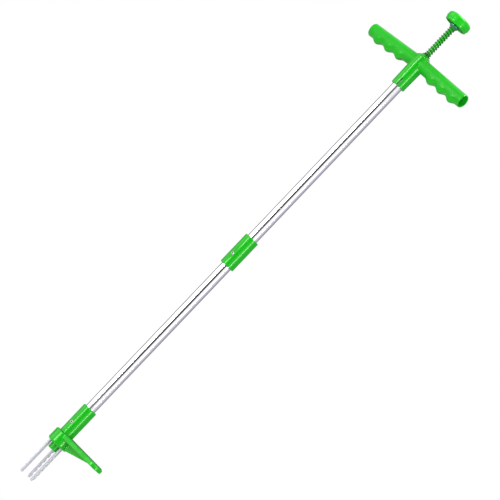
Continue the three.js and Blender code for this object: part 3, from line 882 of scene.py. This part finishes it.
def claw_outline(grow):
    """The claw's section: two flanks that open outwards from the corner; grow makes room around it."""
    def along(turn, far):
        return Vector((far * math.cos(math.radians(turn)), far * math.sin(math.radians(turn))))

    half = math.radians((PLAIN_FLANK_TURN - TOOTH_FLANK_TURN) / 2)
    middle = (PLAIN_FLANK_TURN + TOOTH_FLANK_TURN) / 2
    corner = Vector((CLAW_R, 0)) - along(middle, grow / math.sin(half))
    thick = CLAW_THICK + 2 * grow
    tooth_end = corner + along(TOOTH_FLANK_TURN, TOOTH_FLANK + 3 * grow)
    plain_end = corner + along(PLAIN_FLANK_TURN, PLAIN_FLANK + 3 * grow)
    return [
        corner,
        tooth_end,
        tooth_end + along(TOOTH_FLANK_TURN + 90, thick),
        corner + along(middle, thick / math.sin(half)),
        plain_end + along(PLAIN_FLANK_TURN - 90, thick),
        plain_end,
    ]


def claw_turn(number):
    return turned_z(CLAW_TURN + 360 / CLAW_COUNT * (number - 1))


def claw_prism(name, grow, low, high):
    section = claw_outline(grow)
    return loft(name, [[(p.x, p.y, z) for p in section] for z in (low, high)])


def foot_pedal():
    low, high = box_mm("foot_pedal")
    hub_r = -low.x
    top = high.z - TREAD_RISE
    pedal = lathe("foot_pedal_moulding", [
        (0, low.z),
        (hub_r, low.z, HUB_LOW_EDGE),
        (hub_r, top, HUB_TOP_EDGE),
        (0, top),
    ], 128, 8)
    deck_r = hub_r - HUB_LEDGE
    deck_low = top - PEDAL_ROOT_SIDE
    deck = rounded_plate("deck", deck_r, PEDAL_TIP_R, deck_low, top, PEDAL_LOW_EDGE, PEDAL_TOP_EDGE)
    recess = rounded_plate("recess", deck_r - PEDAL_RIM, PEDAL_TIP_R - PEDAL_RIM,
                           deck_low - 3 * PAST, top - PEDAL_SKIN, 0.5, 0.8)
    taper_side(deck, top)
    cut(deck, recess)
    web_low = low.z + GUSSET_RISE
    web_top = top - 1
    web_points = [(0, web_low), (hub_r - 2, web_low), (GUSSET_X, top - PEDAL_TIP_SIDE),
                  (GUSSET_X, web_top), (0, web_top)]
    web_sides = (-GUSSET_THICK / 2, GUSSET_THICK / 2)
    web = loft("web", [[(x, y, z) for x, z in web_points] for y in web_sides])
    join(pedal, deck, web)
    hollows = [
        pin("spigot_seat", HUB_SEAT_R, top - SPIGOT_LENGTH, top + 3 * PAST, 96),
        pin("ejector_bore", HUB_BORE, low.z - PAST, top + 3 * PAST, 96),
    ]
    claw_top = box_mm("claw_1")[1].z
    for number in range(1, CLAW_COUNT + 1):
        pocket = claw_prism("claw_pocket", CLAW_POCKET, low.z - PAST, claw_top + FIT)
        hollows.append(turn_piece(pocket, claw_turn(number)))
    cut(pedal, *hollows)
    soften(pedal, PEDAL_SKIN_STEP)
    place(pedal, "green", "green_plastic", FRAME, "foot_pedal")


def tread():
    """The raised, ribbed area of the deck: a piece of its own, so that its ribs stay crisp. Its dark green
    is painted shade on the deck's top.
    """
    high = box_mm("foot_pedal")[1].z
    top = high - TREAD_RISE
    hub_r = -box_mm("foot_pedal")[0].x
    pad = rounded_plate("foot_pedal_tread", hub_r - HUB_LEDGE - TREAD_INSET, PEDAL_TIP_R - TREAD_INSET,
                        top - TREAD_FOOT, high, 0.1, 0.4)
    grooves = []
    groove_reach = 16
    groove_top, groove_floor = high + 0.3, high - GROOVE_DEPTH
    first_groove = TREAD_START + RIB_FIRST
    last_groove = PEDAL_TIP_X + 6
    for k in range(int((last_groove - first_groove) / RIB_PITCH) + 1):
        x = first_groove + RIB_PITCH * k
        ring = [(x - GROOVE_TOP, groove_top), (x - GROOVE_FLOOR, groove_floor),
                (x + GROOVE_FLOOR, groove_floor), (x + GROOVE_TOP, groove_top)]
        rings = [[(px, y, pz) for px, pz in ring] for y in (-groove_reach, groove_reach)]
        grooves.append(loft("groove", rings))
    reach = 30
    low_z, high_z = top - PAST, high + PAST
    cut(pad, pin("socket_room", TREAD_START, low_z, high_z, 96),
        slab("tread_back", -reach, TREAD_BACK, -reach, reach, low_z, high_z), *grooves)
    bevel(pad, 0.15)
    # the tread gets the dark green of painted shade on the deck's top
    place(pad, "tread", "green_plastic", FRAME, "foot_pedal")


# ---- ejector and its screw ----

def ejector():
    low, high = box_mm("ejector")
    rod_seat = box_mm("lower_push_rod")[0].z - FIT
    well = low.z + EJECTOR_WELL_DEPTH
    r = high.x
    body = lathe("ejector_moulding", [
        (EJECTOR_SCREW_BORE, well),
        (EJECTOR_WELL_R, well, 0.2),
        (EJECTOR_WELL_R, low.z, 0.3),
        (r, low.z, 1.2),
        (r, EJECTOR_NECK_Z - EJECTOR_CONE, 0.4),
        (EJECTOR_NECK_R, EJECTOR_NECK_Z, 0.4),
        (EJECTOR_NECK_R, high.z, 0.6),
        (ROD_BORE, high.z, 0.2),
        (ROD_BORE, rod_seat),
        (EJECTOR_SCREW_BORE, rod_seat),
    ], 96)
    # the knob's plastic in a darker copy, painted shade under the pedal's hub
    place(body, "ejector", "knob_plastic", PUSHER, "ejector")


def ejector_screw():
    low, high = box_mm("ejector_screw")
    seat = low.z + DRIVE_SEAT
    piece = lathe("ejector_screw_steel", [
        (0, low.z),
        (DRIVE_HEAD_R, low.z, 0.9),
        (DRIVE_SEAT_R, seat, 0.2),
        (DRIVE_SHANK_R, seat, 0.1),
        (DRIVE_SHANK_R, seat + DRIVE_SHANK, 0.3),
        (DRIVE_CORE_R, seat + DRIVE_TAPER),
        (DRIVE_CORE_R, high.z, 0.3),
        (0, high.z),
    ], 48, 4)
    long, side = DRIVE_SLOT_HALF, DRIVE_SLOT_SIDE
    slot_z = (low.z - PAST, low.z + DRIVE_SLOT_DEPTH)
    cut(piece, slab("slot_a", -long, long, -side, side, *slot_z),
        slab("slot_b", -side, side, -long, long, *slot_z))
    shade(piece)
    place(piece, "screw", "screw_steel", PUSHER, "ejector_screw")


# ---- claws ----

def notch(z):
    """A round bite out of the toothed flank's free edge."""
    centre = TOOTH_FLANK - TOOTH_DEPTH + TOOTH_R
    ring = []
    for k in range(TOOTH_SIDES):
        a = 2 * math.pi * k / TOOTH_SIDES
        ring.append((centre + TOOTH_R * math.cos(a), TOOTH_R * math.sin(a)))
    bite = loft("notch", [[(x, y, dz + z) for x, dz in ring] for y in (-3 * PAST, 3 * PAST)])
    turn = Matrix.Translation((CLAW_R * MM, 0, 0)) @ turned_z(TOOTH_FLANK_TURN)
    return turn_piece(bite, turn)


def claw(number):
    low, high = box_mm("claw_1")
    piece = claw_prism(f"claw_{number}_steel", 0, low.z, high.z)
    centre = CLAW_R + TOOTH_FLANK / 2
    clear_r = 8  # wide of the whole section
    tip = lathe("claw_tip", [
        (0, low.z),
        (CLAW_TIP_R, low.z, 0.5),
        (3.2, low.z + CLAW_TIP_LENGTH, 4),
        (clear_r, low.z + 20),
        (clear_r, high.z + PAST),
        (0, high.z + PAST),
    ], 48)
    turn_piece(tip, Matrix.Translation((centre * MM, 0, 0)))
    combine(piece, [tip], "INTERSECT")
    cut(piece, *[notch(low.z + TOOTH_FIRST - TOOTH_PITCH * k) for k in range(TOOTH_COUNT)])
    bevel(piece, CLAW_BEVEL, 2, 40)
    turn_piece(piece, claw_turn(number))
    place(piece, "claw", "claw_steel", FRAME, f"claw_{number}")


t_handle()
push_knob()
spring_cup()
return_spring()
plain_round_pieces()
tube_coupling()
head_socket()
screw("handle_screw_steel", "handle_screw", COLLAR_R, HANDLE_SCREW_TURN)
screw("coupling_screw_steel", "coupling_screw", box_mm("tube_coupling")[1].x, COUPLING_SCREW_TURN)
screw("head_screw_steel", "head_screw", box_mm("head_socket")[1].x, HEAD_SCREW_TURN)
foot_pedal()
tread()
ejector()
ejector_screw()
for claw_number in range(1, CLAW_COUNT + 1):
    claw(claw_number)


# ---- camera: a long lens below the shaft's middle, rolled so that the shaft leans ----

# It looks at the point AIM_SIDE to the right of the shaft's axis, at the height AIM_Z.
CAMERA_AZIMUTH = math.radians(32)
CAMERA_AWAY = 3.6
CAMERA_Z = -0.4967
CAMERA_ROLL = math.radians(43.57)
AIM_Z = -0.3468
AIM_SIDE = 0.0082
VIEW_WIDTH = 0.685  # how much of the tool's plane the picture takes in
SENSOR = 36  # millimetres, as the lens
TOWARDS = Vector((math.sin(CAMERA_AZIMUTH), -math.cos(CAMERA_AZIMUTH), 0))
RIGHT = Vector((math.cos(CAMERA_AZIMUTH), math.sin(CAMERA_AZIMUTH), 0))


def make_camera():
    data = bpy.data.cameras.new("camera")
    data.sensor_width = SENSOR
    data.lens = SENSOR * CAMERA_AWAY / VIEW_WIDTH
    data.clip_end = 50
    camera = bpy.data.objects.new("camera", data)
    bpy.context.scene.collection.objects.link(camera)
    eye = TOWARDS * CAMERA_AWAY + Vector((0, 0, CAMERA_Z))
    look = (RIGHT * AIM_SIDE + Vector((0, 0, AIM_Z)) - eye).normalized()
    shaft_up = (Vector((0, 0, 1)) - look * look.z).normalized()
    level = look.cross(shaft_up)
    across = shaft_up * math.sin(CAMERA_ROLL) + level * math.cos(CAMERA_ROLL)
    up = shaft_up * math.cos(CAMERA_ROLL) - level * math.sin(CAMERA_ROLL)
    pose = Matrix((across, up, -look)).transposed().to_4x4()
    pose.translation = eye
    camera.matrix_world = pose
    bpy.context.scene.camera = camera


# ---- studio: a room with grey sides and a dark gap behind the camera, and three soft lights ----

# the room's brightness by direction, in degrees to the right of the way from the tool to the camera
ROOM = [
    (-180, (0.22, 0.22, 0.23)),
    (-125, (0.33, 0.33, 0.34)),
    (-108, (1.0, 1.0, 1.0)),
    (-100, (2.7, 2.7, 2.7)),
    (-84, (2.7, 2.7, 2.7)),
    (-73, (1.35, 1.35, 1.35)),
    (-57, (1.35, 1.35, 1.35)),
    (-31, (1.0, 1.0, 1.0)),
    (-27, (0.03, 0.03, 0.04)),
    (1, (0.03, 0.03, 0.04)),
    (5, (1.0, 1.0, 1.0)),
    (50, (1.0, 1.0, 1.0)),
    (69, (0.78, 0.78, 0.85)),
    (95, (0.55, 0.55, 0.63)),
    (111, (0.43, 0.43, 0.50)),
    (132, (0.27, 0.27, 0.32)),
    (180, (0.22, 0.22, 0.23)),
]
# the room's layers above and below: where each starts and is complete, as the height of a
# direction of length 1, and its brightness
LAYERS = [
    (0.25, 0.65, (0.85, 0.85, 0.85)),
    (-0.1, -0.6, (0.7, 0.7, 0.71)),
]
BACKDROP = (1, 1, 1, 1)

SOFT_BOX_AWAY = 1.7
SOFT_BOX_HEIGHT = 1.4
SOFT_BOX_Z = -0.3
SOFT_BOX_RADIANCE = 21.0
OVERHEAD_SIZE = 0.9
OVERHEAD_Z = 1.7
OVERHEAD_RADIANCE = 14.0

FLOOR_R = 0.5
FLOOR_SIDES = 64
FLOOR_BELOW = 0.25  # from the tool's lowest point down to the floor


def make_world():
    world = bpy.data.worlds.new("studio")
    bpy.context.scene.world = world
    world.use_nodes = True
    tree = world.node_tree
    link = tree.links.new
    back = tree.nodes["Background"]
    place_in = tree.nodes.new("ShaderNodeTexCoord")
    direction = place_in.outputs["Generated"]

    def dot(axis):
        made = tree.nodes.new("ShaderNodeVectorMath")
        made.operation = "DOT_PRODUCT"
        made.inputs[1].default_value = axis
        link(direction, made.inputs[0])
        return made.outputs["Value"]

    def math_node(operation, a, b):
        made = tree.nodes.new("ShaderNodeMath")
        made.operation = operation
        for slot_in, value in zip(made.inputs, (a, b)):
            if isinstance(value, (int, float)):
                slot_in.default_value = value
            else:
                link(value, slot_in)
        return made.outputs["Value"]

    azimuth = math_node("ARCTAN2", dot(RIGHT), dot(TOWARDS))
    share = math_node("ADD", math_node("DIVIDE", azimuth, 2 * math.pi), 0.5)
    ramp = tree.nodes.new("ShaderNodeValToRGB")
    stops = ramp.color_ramp.elements
    for old in list(stops)[1:]:
        stops.remove(old)
    stops[0].position = 0
    stops[0].color = (*ROOM[0][1], 1)
    for degrees, colour in ROOM[1:]:
        stops.new((degrees + 180) / 360).color = (*colour, 1)
    link(share, ramp.inputs["Fac"])
    height = dot((0, 0, 1))
    room = ramp.outputs["Color"]
    for start, end, colour in LAYERS:
        steep = tree.nodes.new("ShaderNodeMapRange")
        steep.inputs["From Min"].default_value = start
        steep.inputs["From Max"].default_value = end
        link(height, steep.inputs["Value"])
        layer = tree.nodes.new("ShaderNodeMix")
        layer.data_type = "RGBA"
        link(steep.outputs["Result"], layer.inputs["Factor"])
        link(room, layer.inputs["A"])
        layer.inputs["B"].default_value = (*colour, 1)
        room = layer.outputs["Result"]
    seen = tree.nodes.new("ShaderNodeLightPath")
    shown = tree.nodes.new("ShaderNodeMix")
    shown.data_type = "RGBA"
    link(seen.outputs["Is Camera Ray"], shown.inputs["Factor"])
    link(room, shown.inputs["A"])
    shown.inputs["B"].default_value = BACKDROP
    link(shown.outputs["Result"], back.inputs["Color"])


def area_light(name, shape, width, height, radiance):
    data = bpy.data.lights.new(name, "AREA")
    data.shape = shape
    data.size = width
    data.size_y = height
    data.energy = radiance * math.pi * width * height
    light = bpy.data.objects.new(name, data)
    bpy.context.scene.collection.objects.link(light)
    return light


def soft_box(name, degrees, width):
    """A tall soft box at a direction given in degrees to the right of the camera's own."""
    light = area_light(name, "RECTANGLE", width, SOFT_BOX_HEIGHT, SOFT_BOX_RADIANCE)
    turn = math.radians(degrees)
    towards = RIGHT * math.sin(turn) + TOWARDS * math.cos(turn)
    light.location = towards * SOFT_BOX_AWAY + Vector((0, 0, SOFT_BOX_Z))
    light.rotation_euler = (-towards).to_track_quat("-Z", "Y").to_euler()


def overhead_light():
    light = area_light("overhead_soft_box", "SQUARE", OVERHEAD_SIZE, OVERHEAD_SIZE, OVERHEAD_RADIANCE)
    light.location = (0, 0, OVERHEAD_Z)


def make_floor():
    """A pale disc under the tool. It is clear from below, so that the underside can be seen."""
    low = CAD_BOX[0][2] - FLOOR_BELOW
    turns = [2 * math.pi * k / FLOOR_SIDES for k in range(FLOOR_SIDES)]
    ring = [(FLOOR_R * math.cos(a), FLOOR_R * math.sin(a), low) for a in turns]
    mesh = bpy.data.meshes.new("floor")
    mesh.from_pydata(ring, [], [list(range(FLOOR_SIDES))])
    floor = bpy.data.objects.new("floor", mesh)
    bpy.context.scene.collection.objects.link(floor)
    material, tree, shader = nodes_of("pale_floor")
    drift = between(tree, noise_at(tree, 3, detail=4), 0, 1)
    tone = blend_colour(tree, drift, (0.70, 0.70, 0.69), (0.74, 0.74, 0.74))
    tree.links.new(tone.outputs["Result"], shader.inputs["Base Color"])
    shader.inputs["Roughness"].default_value = 0.7
    side = tree.nodes.new("ShaderNodeNewGeometry")
    clear = tree.nodes.new("ShaderNodeBsdfTransparent")
    either = tree.nodes.new("ShaderNodeMixShader")
    output = next(n for n in tree.nodes if n.type == "OUTPUT_MATERIAL")
    tree.links.new(side.outputs["Backfacing"], either.inputs["Fac"])
    tree.links.new(shader.outputs["BSDF"], either.inputs[1])
    tree.links.new(clear.outputs["BSDF"], either.inputs[2])
    tree.links.new(either.outputs["Shader"], output.inputs["Surface"])
    mesh.materials.append(material)


make_camera()
make_world()
soft_box("left_soft_box", -49, 0.24)
soft_box("right_soft_box", 41, 0.22)
overhead_light()
make_floor()
bpy.context.scene.view_settings.view_transform = "Standard"
